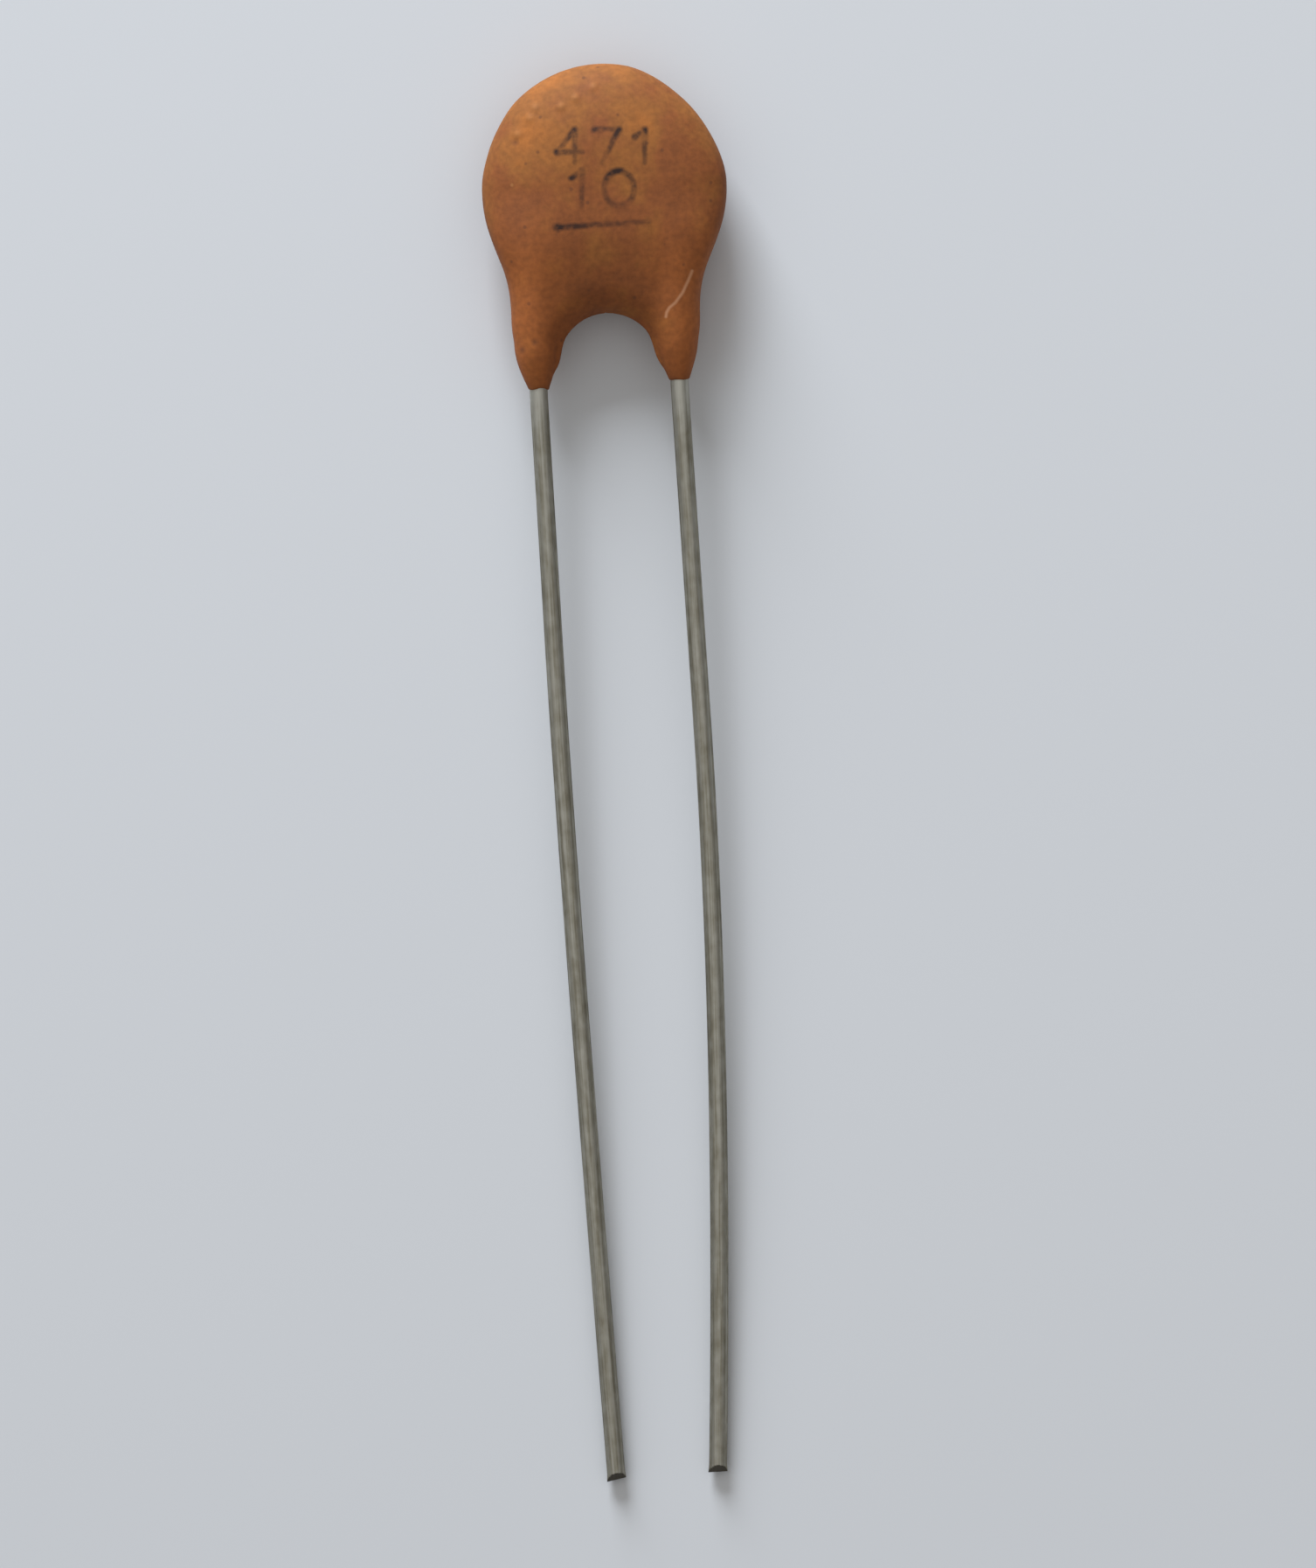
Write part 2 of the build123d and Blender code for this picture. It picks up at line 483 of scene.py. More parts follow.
@dataclass(frozen=True)
class DippedResin:
    """Filled phenolic resin, dipped and baked: a dull satin skin with a fine sandy grain."""

    stamp: Stamp
    blemishes: Blemishes
    view: PhotoView
    # Browns from deep to bleached, and where they lie on the ramp
    browns: tuple[str, ...] = ("#7C4520", "#894E24", "#935B28", "#A6652C")
    brown_stops: tuple[float, ...] = (0.27, 0.5, 0.69, 0.91)
    run: str = "#A8602B"
    ink: str = "#2B1811"
    scratch: str = "#CC9670"
    film: str = "#6E3C16"
    ior: float = 1.5
    specular: float = 0.35
    roughness: Pair = (0.72, 0.82)
    # Most of a noise lies between these values
    noise_span: Pair = (0.3, 0.7)
    cloud_mm: float = 1.3
    cloud_draw: float = 2.3
    # Painted light: the way towards the lamp, where the paler painted band starts and ends along it, and how
    # pale it is
    lamp_side_way: tuple[float, float, float] = (-0.2, 0.98, 0.0)
    lamp_side_mm: Pair = (0.4, 1.7)
    painted_light_gain: float = 0.19
    # Where the run-down starts and ends, aside from the middle and below it, and how strong it is
    run_aside_mm: Pair = (1.0, 2.5)
    run_below_mm: Pair = (-0.8, -3.0)
    run_share: float = 0.6
    # The real grit of the filler is about a tenth of this; it is drawn coarser, so that it shows
    grain_mm: float = 0.2
    # Gains of the grain on the colour under it, dark and light
    grain_gains: tuple[Colour, Colour] = ((0.84, 0.82, 0.8, 1.0), (1.1, 1.08, 1.06, 1.0))
    grain_relief: float = 0.22
    grain_relief_mm: float = 0.02
    pits: Scatter = Scatter("#5A3520", 0.55, 0.08, 0.75)
    # Random pale flecks; their colour also paints the highlights on the grit bumps
    pale_flecks_and_highlights: Scatter = Scatter("#B47A45", 0.8, 0.06, 0.9)
    film_power: float = 1.6
    film_share: float = 0.6
    # Painted highlight over the grit bumps: the share of pale colour at their middles
    grit_highlight_strength: float = 0.35
    dirt_strength: float = 0.6
    blemish_reach: float = 1.2
    # Size of the rubbed patches of the stamp, the noise over which they fade, and the ink left in them
    wear_mm: float = 0.42
    wear_span: Pair = (0.36, 0.58)
    wear_left: float = 0.35
    # The scratch is full within the first share of its half width, and ends at the second
    scratch_mm: float = 0.09
    scratch_edges: Pair = (0.3, 1.8)
    scratch_strength: float = 0.66
    scratch_px: tuple[Pixel, ...] = (
        (792, 311),
        (788, 321),
        (781, 336),
        (773, 347),
        (766, 353),
        (763, 358),
        (762, 363),
    )

    def build(self) -> bpy.types.Material:
        """Make the material.

        Returns:
            Resin with clouded colour, painted light on the side towards the lamp, pits, pale specks, painted
            highlights on the grit, a worn stamp and one pale scratch.
        """
        material, tree = new_material("dipped_baked_resin")
        where = add(tree, "ShaderNodeTexCoord").outputs["Object"]
        low, high = self.noise_span
        # Uneven drying leaves soft clouds of paler and deeper brown, and of duller and smoother skin
        cloud = add(
            tree,
            "ShaderNodeTexNoise",
            {"Vector": where, "W": self.cloud_draw, "Scale": per_metre(self.cloud_mm), "Detail": 3.0},
            noise_dimensions="4D",
        ).outputs["Fac"]
        # The mineral filler shows as a sandy grain
        grain = add(
            tree,
            "ShaderNodeTexNoise",
            {"Vector": where, "Scale": per_metre(self.grain_mm), "Detail": 2.0},
        ).outputs["Fac"]
        sandy = add(
            tree,
            "ShaderNodeValToRGB",
            {"Fac": grain},
            stops=list(zip(self.noise_span, self.grain_gains)),
        )
        colour = add(
            tree,
            "ShaderNodeMix",
            {0: 1.0, UNDER: self.pigment(tree, where, cloud), OVER: sandy.outputs[0]},
            data_type="RGBA",
            blend_type="MULTIPLY",
        ).outputs[MIXED]
        for scatter in (self.pits, self.pale_flecks_and_highlights):
            colour = self.sprinkle(tree, where, colour, scatter)
        colour = self.marks_and_painted_highlights(tree, where, colour)
        smooth, dull = self.roughness
        rough = add(
            tree,
            "ShaderNodeMapRange",
            {0: cloud, FROM_LOW: low, FROM_HIGH: high, TO_LOW: smooth, TO_HIGH: dull},
        )
        peel = add(
            tree,
            "ShaderNodeBump",
            {"Strength": self.grain_relief, "Distance": self.grain_relief_mm * MM, "Height": grain},
        )
        shader = add(
            tree,
            "ShaderNodeBsdfPrincipled",
            {
                "Base Color": colour,
                "Roughness": rough.outputs[0],
                "IOR": self.ior,
                "Specular IOR Level": self.specular,
                "Normal": peel.outputs[0],
            },
        )
        add(tree, "ShaderNodeOutputMaterial", {"Surface": shader.outputs[0]})
        return material

    def pigment(self, tree: Tree, where: Socket, cloud: Socket) -> Socket:
        """Colour the resin as it dried, with painted light on the side towards the lamp.

        Args:
            tree: The material's node tree.
            where: Place on the object.
            cloud: Soft noise of the drying.

        Returns:
            The brown under the grain and the marks.
        """
        # Painted light: the side of the coat towards the lamp is painted paler
        towards_lamp = add(tree, "ShaderNodeVectorMath", {0: where, 1: self.lamp_side_way}, operation="DOT_PRODUCT")
        start, end = (size * MM for size in self.lamp_side_mm)
        lamp_side_paleness = add(
            tree,
            "ShaderNodeMapRange",
            {
                0: towards_lamp.outputs["Value"],
                FROM_LOW: start,
                FROM_HIGH: end,
                TO_LOW: 0.0,
                TO_HIGH: self.painted_light_gain,
            },
        )
        tone = add(tree, "ShaderNodeMath", {0: cloud, 1: lamp_side_paleness.outputs[0]}, operation="ADD")
        base = add(
            tree,
            "ShaderNodeValToRGB",
            {"Fac": tone.outputs[0]},
            stops=[(stop, srgb(brown)) for stop, brown in zip(self.brown_stops, self.browns)],
        )
        # The resin that ran down along the wires took more of the red pigment with it
        at = add(tree, "ShaderNodeSeparateXYZ", {0: where})
        aside = add(tree, "ShaderNodeMath", {0: at.outputs["X"]}, operation="ABSOLUTE")
        start, end = (size * MM for size in self.run_aside_mm)
        over_wire = add(
            tree,
            "ShaderNodeMapRange",
            {0: aside.outputs[0], FROM_LOW: start, FROM_HIGH: end, TO_LOW: 0.0, TO_HIGH: self.run_share},
        )
        start, end = (size * MM for size in self.run_below_mm)
        below = add(tree, "ShaderNodeMapRange", {0: at.outputs["Y"], FROM_LOW: start, FROM_HIGH: end})
        ran = add(
            tree,
            "ShaderNodeMath",
            {0: over_wire.outputs[0], 1: below.outputs[0]},
            operation="MULTIPLY",
        )
        mixed = add(
            tree,
            "ShaderNodeMix",
            {0: ran.outputs[0], UNDER: base.outputs[0], OVER: srgb(self.run)},
            data_type="RGBA",
        )
        return mixed.outputs[MIXED]

    def sprinkle(self, tree: Tree, where: Socket, under: Socket, scatter: Scatter) -> Socket:
        """Scatter small spots over a colour.

        Args:
            tree: The material's node tree.
            where: Place on the object.
            under: Colour that the spots lie on.
            scatter: Colour, spacing and number of the spots.

        Returns:
            The colour with its spots.
        """
        cells = add(tree, "ShaderNodeTexVoronoi", {"Vector": where, "Scale": per_metre(scatter.spacing_mm)})
        reach = scatter.reach_share
        spot = add(
            tree,
            "ShaderNodeMapRange",
            {
                0: cells.outputs["Distance"],
                FROM_LOW: reach,
                FROM_HIGH: reach * 2,
                TO_LOW: scatter.strength,
                TO_HIGH: 0.0,
            },
        )
        chance = add(tree, "ShaderNodeSeparateColor", {0: cells.outputs["Color"]}).outputs[0]
        chosen = add(tree, "ShaderNodeMath", {0: chance, 1: scatter.empty_share}, operation="GREATER_THAN")
        mask = add(tree, "ShaderNodeMath", {0: spot.outputs[0], 1: chosen.outputs[0]}, operation="MULTIPLY")
        mixed = add(
            tree,
            "ShaderNodeMix",
            {0: mask.outputs[0], UNDER: under, OVER: srgb(scatter.colour)},
            data_type="RGBA",
        )
        return mixed.outputs[MIXED]

    def marks_and_painted_highlights(self, tree: Tree, where: Socket, colour: Socket) -> Socket:
        """Lay the thin ends, painted highlights on the grit, dirt in the pits, the scratch and the stamp
        over the colour.

        Args:
            tree: The material's node tree.
            where: Place on the object.
            colour: Colour of the clean resin.

        Returns:
            The colour with its marks.
        """
        # Places are dropped onto the table plane, so that marks are measured as seen from above
        flat = add(tree, "ShaderNodeVectorMath", {0: where, 1: (1.0, 1.0, 0.0)}, operation="MULTIPLY")
        flat = flat.outputs[0]
        # Where the resin thins out on the wire it looks darker
        thin = add(tree, "ShaderNodeAttribute", attribute_name="thin").outputs["Fac"]
        drawn_out = add(tree, "ShaderNodeMath", {0: thin, 1: self.film_power}, operation="POWER")
        partly = add(
            tree,
            "ShaderNodeMath",
            {0: drawn_out.outputs[0], 1: self.film_share},
            operation="MULTIPLY",
        )
        # Painted highlights: the skin is painted pale over the grit bumps, and the pits hold dirt
        marks = (
            (partly.outputs[0], self.film),
            (self.spots(tree, flat, self.blemishes.grit_px, self.grit_highlight_strength), self.pale_flecks_and_highlights.colour),
            (self.spots(tree, flat, self.blemishes.pit_px, self.dirt_strength), self.pits.colour),
            (self.scratch_mask(tree, flat), self.scratch),
            (self.ink_mask(tree, where, flat), self.ink),
        )
        for mask, tone in marks:
            mixed = add(tree, "ShaderNodeMix", {0: mask, UNDER: colour, OVER: srgb(tone)}, data_type="RGBA")
            colour = mixed.outputs[MIXED]
        return colour

    def gather(self, tree: Tree, values: list[Socket], operation: str) -> Socket:
        """Take the least or the greatest of some values.

        Args:
            tree: The material's node tree.
            values: The values to compare.
            operation: MINIMUM or MAXIMUM.

        Returns:
            The value that is left.
        """
        best = values[0]
        for value in values[1:]:
            best = add(tree, "ShaderNodeMath", {0: best, 1: value}, operation=operation).outputs[0]
        return best

    def spots(self, tree: Tree, flat: Socket, spots_px: tuple[Pixel, ...], strength: float) -> Socket:
        """Mask small soft spots on the face.

        Args:
            tree: The material's node tree.
            flat: Place on the table plane.
            spots_px: Pixels of the photograph that the spots lie under.
            strength: Mask in the middle of a spot.

        Returns:
            The mask.
        """
        gaps = [
            add(tree, "ShaderNodeVectorMath", {0: flat, 1: at * MM}, operation="DISTANCE").outputs["Value"]
            for at in self.blemishes.places(spots_px)
        ]
        gap = self.gather(tree, gaps, "MINIMUM")
        reach = self.blemishes.size_mm * MM * self.blemish_reach
        mask = add(
            tree,
            "ShaderNodeMapRange",
            {0: gap, FROM_LOW: 0.0, FROM_HIGH: reach, TO_LOW: strength, TO_HIGH: 0.0},
        )
        return mask.outputs[0]

    def stroke(self, tree: Tree, flat: Socket, start: Vector, end: Vector, half_mm: float) -> bpy.types.Node:
        """Add one measured stroke.

        Args:
            tree: The material's node tree.
            flat: Place on the table plane.
            start: Place where the stroke starts, in millimetres.
            end: Place where it ends.
            half_mm: Half of its width.

        Returns:
            The stroke's node, with its distance and its ink.
        """
        group = bpy.data.node_groups.get("stroke") or self.stamp.stroke_group()
        return add(
            tree,
            "ShaderNodeGroup",
            {"Point": flat, "Start": start * MM, "End": end * MM, "Half": half_mm * MM},
            node_tree=group,
        )

    def scratch_mask(self, tree: Tree, flat: Socket) -> Socket:
        """Draw the pale scratch beside the right leg.

        Args:
            tree: The material's node tree.
            flat: Place on the table plane.

        Returns:
            The mask.
        """
        places = [self.view.place(*spot) for spot in self.scratch_px]
        half = self.scratch_mm / 2
        ends = zip(places, places[1:])
        gaps = [self.stroke(tree, flat, start, end, half).outputs["Distance"] for start, end in ends]
        gap = self.gather(tree, gaps, "MINIMUM")
        near, far = (half * MM * share for share in self.scratch_edges)
        mask = add(
            tree,
            "ShaderNodeMapRange",
            {0: gap, FROM_LOW: near, FROM_HIGH: far, TO_LOW: self.scratch_strength, TO_HIGH: 0.0},
        )
        return mask.outputs[0]

    def ring_ink(self, tree: Tree, flat: Socket, middle: Vector, edge: Vector) -> Socket:
        """Draw one round digit.

        Args:
            tree: The material's node tree.
            flat: Place on the table plane.
            middle: Middle of the digit.
            edge: Half of its width and of its height.

        Returns:
            Its ink, driest at the foot.
        """
        shifted = add(tree, "ShaderNodeVectorMath", {0: flat, 1: middle * MM}, operation="SUBTRACT")
        inverse = (1 / (abs(edge.x) * MM), 1 / (abs(edge.y) * MM), 0.0)
        unit = add(tree, "ShaderNodeVectorMath", {0: shifted.outputs[0], 1: inverse}, operation="MULTIPLY")
        length = add(tree, "ShaderNodeVectorMath", {0: unit.outputs[0]}, operation="LENGTH")
        off = add(tree, "ShaderNodeMath", {0: length.outputs["Value"], 1: 1.0}, operation="SUBTRACT")
        gap = add(tree, "ShaderNodeMath", {0: off.outputs[0]}, operation="ABSOLUTE")
        full, end = (self.stamp.stroke_mm / 2 / abs(edge.x) * share for share in self.stamp.edge_shares)
        line = add(
            tree,
            "ShaderNodeMapRange",
            {0: gap.outputs[0], FROM_LOW: full, FROM_HIGH: end, TO_LOW: 1.0, TO_HIGH: 0.0},
        )
        height = add(tree, "ShaderNodeSeparateXYZ", {0: unit.outputs[0]}).outputs["Y"]
        drying = add(
            tree,
            "ShaderNodeMapRange",
            {0: height, FROM_LOW: -1.0, FROM_HIGH: 1.0, TO_LOW: self.stamp.dry_share, TO_HIGH: 1.0},
        )
        ink = add(tree, "ShaderNodeMath", {0: line.outputs[0], 1: drying.outputs[0]}, operation="MULTIPLY")
        return ink.outputs[0]

    def ink_mask(self, tree: Tree, where: Socket, flat: Socket) -> Socket:
        """Draw the stamp, rubbed away in patches, on the upper face only.

        Args:
            tree: The material's node tree.
            where: Place on the object.
            flat: Place on the table plane.

        Returns:
            The mask.
        """
        half = self.stamp.stroke_mm / 2
        inks = [
            self.stroke(tree, flat, start, end, half * weight).outputs["Ink"]
            for start, end, weight in self.stamp.strokes()
        ]
        inks += [self.ring_ink(tree, flat, middle, edge) for middle, edge in self.stamp.rings()]
        ink = self.gather(tree, inks, "MAXIMUM")
        rubbed = add(
            tree,
            "ShaderNodeTexNoise",
            {"Vector": where, "Scale": per_metre(self.wear_mm), "Detail": 4.0},
        ).outputs["Fac"]
        low, high = self.wear_span
        left = add(
            tree,
            "ShaderNodeMapRange",
            {0: rubbed, FROM_LOW: low, FROM_HIGH: high, TO_LOW: self.wear_left, TO_HIGH: 1.0},
        )
        worn = add(tree, "ShaderNodeMath", {0: ink, 1: left.outputs[0]}, operation="MULTIPLY")
        height = add(tree, "ShaderNodeSeparateXYZ", {0: where}).outputs["Z"]
        middle = self.view.level_mm * MM
        front = add(tree, "ShaderNodeMath", {0: height, 1: middle}, operation="GREATER_THAN")
        mask = add(tree, "ShaderNodeMath", {0: worn.outputs[0], 1: front.outputs[0]}, operation="MULTIPLY")
        return mask.outputs[0]


@dataclass(frozen=True)
class TinnedWire:
    """Tin-plated wire, drawn through a die and matted by handling: grey with fine lengthwise lines, and
    painted shade on its flanks.
    """

    radius_mm: float
    bright: str = "#B9B7AC"
    dull: str = "#8E8979"
    # The darkest grey: random tarnish, and the painted shade on the flanks
    shade_and_tarnish: str = "#59554A"
    # Painted shade: the sheared end's bevels, which face away from the lamp, are painted this dark grey
    core: str = "#565148"
    # Width and length of one cell. Real die lines are far finer; they are drawn coarser, so that they show
    line_mm: Pair = (0.0722, 3.4)
    stain_mm: Pair = (0.325, 0.6)
    # Share of the stains beside the lines, and where their sum goes from dull to bright
    stain_share: float = 0.6
    tint_span: Pair = (0.58, 1.0)
    # Painted shade on the flanks starts at this share of the radius aside, and takes this much off the tint
    flank_share: float = 0.68
    flank_shade_loss: float = -0.7
    fresh_gain: float = 0.8
    tone_span: Pair = (-0.6, 1.4)
    tone_stops: tuple[float, float, float] = (0.0, 0.35, 0.85)
    noise_span: Pair = (0.3, 0.7)
    roughness: Pair = (0.55, 0.4)
    relief: float = 0.35
    relief_mm: float = 0.01

    def build(self) -> bpy.types.Material:
        """Make the material.

        Returns:
            Metal with lengthwise lines, soft stains, painted shade on the flanks and painted shade on the
            sheared end.
        """
        material, tree = new_material("drawn_tinned_wire")
        # The mesh carries a place on a unit circle and a length along the wire
        drawn = add(tree, "ShaderNodeAttribute", attribute_name="drawn").outputs["Vector"]
        cut = add(tree, "ShaderNodeAttribute", attribute_name="cut").outputs["Fac"]
        fresh = add(tree, "ShaderNodeAttribute", attribute_name="fresh").outputs["Fac"]
        noises = []
        for (width, length), detail in ((self.line_mm, 3.0), (self.stain_mm, 4.0)):
            scale = (self.radius_mm / width, self.radius_mm / width, 1 / length)
            cell = add(tree, "ShaderNodeVectorMath", {0: drawn, 1: scale}, operation="MULTIPLY").outputs[0]
            noise = add(tree, "ShaderNodeTexNoise", {"Vector": cell, "Scale": 1.0, "Detail": detail})
            noises.append(noise.outputs["Fac"])
        lines, stain = noises
        both = add(
            tree,
            "ShaderNodeMath",
            {0: stain, 1: self.stain_share, 2: lines},
            operation="MULTIPLY_ADD",
        )
        low, high = self.tint_span
        tint = add(tree, "ShaderNodeMapRange", {0: both.outputs[0], FROM_LOW: low, FROM_HIGH: high})
        # The flanks are painted darker as painted shade, and the tin is fresh beside the resin
        around = add(tree, "ShaderNodeSeparateXYZ", {0: drawn})
        flank = add(tree, "ShaderNodeMath", {0: around.outputs["X"]}, operation="ABSOLUTE")
        flank_shade = add(
            tree,
            "ShaderNodeMapRange",
            {
                0: flank.outputs[0],
                FROM_LOW: self.flank_share,
                FROM_HIGH: 1.0,
                TO_LOW: 0.0,
                TO_HIGH: self.flank_shade_loss,
            },
        )
        rubbed = add(tree, "ShaderNodeMath", {0: tint.outputs[0], 1: flank_shade.outputs[0]}, operation="ADD")
        tone = add(
            tree,
            "ShaderNodeMath",
            {0: fresh, 1: self.fresh_gain, 2: rubbed.outputs[0]},
            operation="MULTIPLY_ADD",
        )
        low, high = self.tone_span
        place = add(tree, "ShaderNodeMapRange", {0: tone.outputs[0], FROM_LOW: low, FROM_HIGH: high})
        greys = (self.shade_and_tarnish, self.dull, self.bright)
        metal = add(
            tree,
            "ShaderNodeValToRGB",
            {"Fac": place.outputs[0]},
            stops=[(stop, srgb(grey)) for stop, grey in zip(self.tone_stops, greys)],
        )
        # Painted shade on the sheared end's bevels
        sheared = add(
            tree,
            "ShaderNodeMix",
            {0: cut, UNDER: metal.outputs[0], OVER: srgb(self.core)},
            data_type="RGBA",
        )
        low, high = self.noise_span
        rubbed_rough, line_rough = self.roughness
        rough = add(
            tree,
            "ShaderNodeMapRange",
            {0: lines, FROM_LOW: low, FROM_HIGH: high, TO_LOW: rubbed_rough, TO_HIGH: line_rough},
        )
        ridge = add(
            tree,
            "ShaderNodeBump",
            {"Strength": self.relief, "Distance": self.relief_mm * MM, "Height": lines},
        )
        shader = add(
            tree,
            "ShaderNodeBsdfPrincipled",
            {
                "Base Color": sheared.outputs[MIXED],
                "Metallic": 1.0,
                "Roughness": rough.outputs[0],
                "Normal": ridge.outputs[0],
            },
        )
        add(tree, "ShaderNodeOutputMaterial", {"Surface": shader.outputs[0]})
        return material


@dataclass(frozen=True)
class InnerFinish:
    """A plain inner finish: two close tones mixed by a fine grain."""

    name: str
    light: str
    dark: str
    grain_mm: float
    metallic: float
    roughness: float
    noise_span: Pair = (0.3, 0.7)
    relief: float = 0.2
    relief_mm: float = 0.01

    def build(self) -> bpy.types.Material:
        """Make the material.

        Returns:
            A grainy two-tone surface.
        """
        material, tree = new_material(self.name)
        where = add(tree, "ShaderNodeTexCoord").outputs["Object"]
        grain = add(
            tree,
            "ShaderNodeTexNoise",
            {"Vector": where, "Scale": per_metre(self.grain_mm), "Detail": 3.0},
        ).outputs["Fac"]
        low, high = self.noise_span
        tone = add(
            tree,
            "ShaderNodeValToRGB",
            {"Fac": grain},
            stops=[(low, srgb(self.dark)), (high, srgb(self.light))],
        )
        bump = add(
            tree,
            "ShaderNodeBump",
            {"Strength": self.relief, "Distance": self.relief_mm * MM, "Height": grain},
        )
        shader = add(
            tree,
            "ShaderNodeBsdfPrincipled",
            {
                "Base Color": tone.outputs[0],
                "Metallic": self.metallic,
                "Roughness": self.roughness,
                "Normal": bump.outputs[0],
            },
        )
        add(tree, "ShaderNodeOutputMaterial", {"Surface": shader.outputs[0]})
        return material


# Fired titanate ceramic is chalky and tan, fired silver is matt, and reflowed solder is smooth and grey.
# The real grains of the first two are a few thousandths of a millimetre; they are drawn coarser, so
# that they show
CERAMIC = InnerFinish(
    name="fired_titanate_ceramic",
    light="#C2A988",
    dark="#A98D6B",
    grain_mm=0.06,
    metallic=0.0,
    roughness=0.75,
)
SILVER = InnerFinish(
    name="fired_silver_layer",
    light="#D6D3CC",
    dark="#B7B4AC",
    grain_mm=0.09,
    metallic=1.0,
    roughness=0.5,
)
SOLDER = InnerFinish(
    name="reflowed_tin_solder",
    light="#B6B7B8",
    dark="#94969A",
    grain_mm=0.5,
    metallic=1.0,
    roughness=0.3,
)


@dataclass(frozen=True)
class MattCard:
    """White card, pressed and left uncoated: it scatters light evenly and shows no gloss."""

    white: str = "#D4D6D8"
    roughness: float = 0.9

    def build(self) -> bpy.types.Material:
        """Make the material.

        Returns:
            A plain pale surface.
        """
        material, tree = new_material("matt_white_card")
        plain = {"Base Color": srgb(self.white), "Roughness": self.roughness}
        shader = add(tree, "ShaderNodeBsdfPrincipled", plain)
        add(tree, "ShaderNodeOutputMaterial", {"Surface": shader.outputs[0]})
        return material


@dataclass
class DippedCoat:
    """The resin skin: a full disc that runs down onto both leads and arches between them."""

    radius: float
    half_thickness: float
    exits: dict[Side, float]
    blemishes: Blemishes
    half_pitch: float = 2.5
    swell: float = 0.03
    lean: float = -0.06
    # Power of the section's oval over the disc and over the flanks below it, and the span of the change
    fullness: Pair = (2.25, 3.8)
    dome_share: float = 0.8
    # How the body narrows below the disc: reach past the wires in leg radii, span in radii, sharpness
    flank_share: float = 0.92
    narrow_share: float = 1.06
    narrow_sharpness: float = 1.1
    # How it thins, above the arch and over the wires, and how the scoop between the wires is drawn
    thin_shares: Pair = (1.24, 1.3)
    thin_sharpness: float = 1.5
    scoop_sharpness: float = 1.2
    # Half thickness at the arch, then what half width and half thickness lose below it, in leg radii
    leg_thin_share: float = 0.95
    low_narrow_share: float = 0.3
    low_slim_share: float = 0.2
    # The legs: radius, radius at the edge on the wire, and how much taller than wide they are at the root
    leg_radius: float = 0.78
    edge_radius: float = 0.36
    leg_tall: float = 1.36
    tall_power: float = 1.3
    tall_span: float = 2.9
    taper: float = 1.9
    taper_round: float = 1.44
    # A leg's root sinks into the body: drop and span in shares of the disc's radius, depth in leg radii
    root_share: float = 0.35
    root_span_share: float = 0.5
    root_sink: float = 1.5
    # The ragged edge of the resin on the wire, and the length of the thin film above it
    ragged: float = 0.07
    film: float = 0.6
    arch_top: float = 4.57
    lip: float = -0.05
    # Below the arch's top the body draws back this far, from this drop, over this span
    draw_back: float = 2.6
    draw_drop: float = 0.4
    draw_span: float = 3.4
    flank_blend: float = 0.4
    arch_blend: float = 1.1
    edge_blend: float = 0.05
    face_blend: float = 0.06
    # A hand-dipped rim is a little out of round: (middle and half span in degrees, depth as a share)
    dents: tuple[tuple[float, float, float], ...] = ((40.0, 40.0, 0.038), (157.0, 23.0, 0.016))
    dent_sharpness: float = 1.4
    # Unevenness of the dip: (wave length, height, number of waves)
    waves: tuple[tuple[float, float, int], ...] = ((3.2, 0.004, 6), (1.1, 0.0012, 8), (0.45, 0.0007, 8))
    wave_share: float = 0.5
    wave_sink: float = 2.0
    seed: int = 7
    # Meshing: grid spacing, spare cells around, and how the corners settle onto the skin
    cell: float = 0.06
    spare_cells: int = 3
    settle_steps: int = 3
    probe_share: float = 0.2
    least_slope: float = 0.05

    def sizes_below(self, x: np.ndarray, down: np.ndarray) -> tuple[np.ndarray, np.ndarray]:
        """Size the body below the disc's middle.

        Args:
            x: Places across the disc.
            down: Distances below the disc's middle.

        Returns:
            Half widths and half thicknesses.
        """
        leg_wide = self.half_pitch + self.leg_radius * self.flank_share
        leg_thick = self.leg_radius * self.leg_thin_share
        wide = fade(down, self.radius * self.narrow_share, self.narrow_sharpness)
        # The resin stays thick over the wires and is scooped out above the arch
        flank = 1 - fade(np.abs(x), self.half_pitch, self.scoop_sharpness)
        hollow, full = (fade(down, self.radius * share, self.thin_sharpness) for share in self.thin_shares)
        thick = hollow + (full - hollow) * flank
        low = 1 - fade(np.maximum(down - self.arch_top, 0), self.half_pitch - self.leg_radius)
        half_width = leg_wide + (self.radius - leg_wide) * wide
        half_width = half_width - self.low_narrow_share * self.leg_radius * low
        half_thick = leg_thick + (self.half_thickness + self.swell - leg_thick) * thick
        half_thick = half_thick - self.low_slim_share * self.leg_radius * low
        return half_width, half_thick

    def rim(self, x: np.ndarray, y: np.ndarray) -> np.ndarray:
        """Give the rim's radius on the upper half, with its shallow dents.

        Args:
            x: Places across the disc.
            y: Places along the leads.

        Returns:
            Radii.
        """
        angle = np.degrees(np.arctan2(y, x))
        share = np.ones_like(angle)
        for middle, span, depth in self.dents:
            share -= depth * fade(np.abs(angle - middle), span, self.dent_sharpness)
        return self.radius * share

    def lens(self, x: np.ndarray, y: np.ndarray, z: np.ndarray) -> np.ndarray:
        """Measure the full round disc and the body that narrows below it.

        Args:
            x: Places across the disc.
            y: Places along the leads.
            z: Places through the thickness.

        Returns:
            Distances from the body, negative inside.
        """
        down = np.maximum(-y, 0)
        x = x - self.lean * (1 - fade(down, self.arch_top))
        half_width, half_thick = self.sizes_below(x, down)
        on_disc = np.hypot(x, y) / self.rim(x, np.maximum(y, 0))
        reach = np.where(y > 0, on_disc, np.abs(x) / half_width) + TINY
        level = np.abs(z) / half_thick + TINY
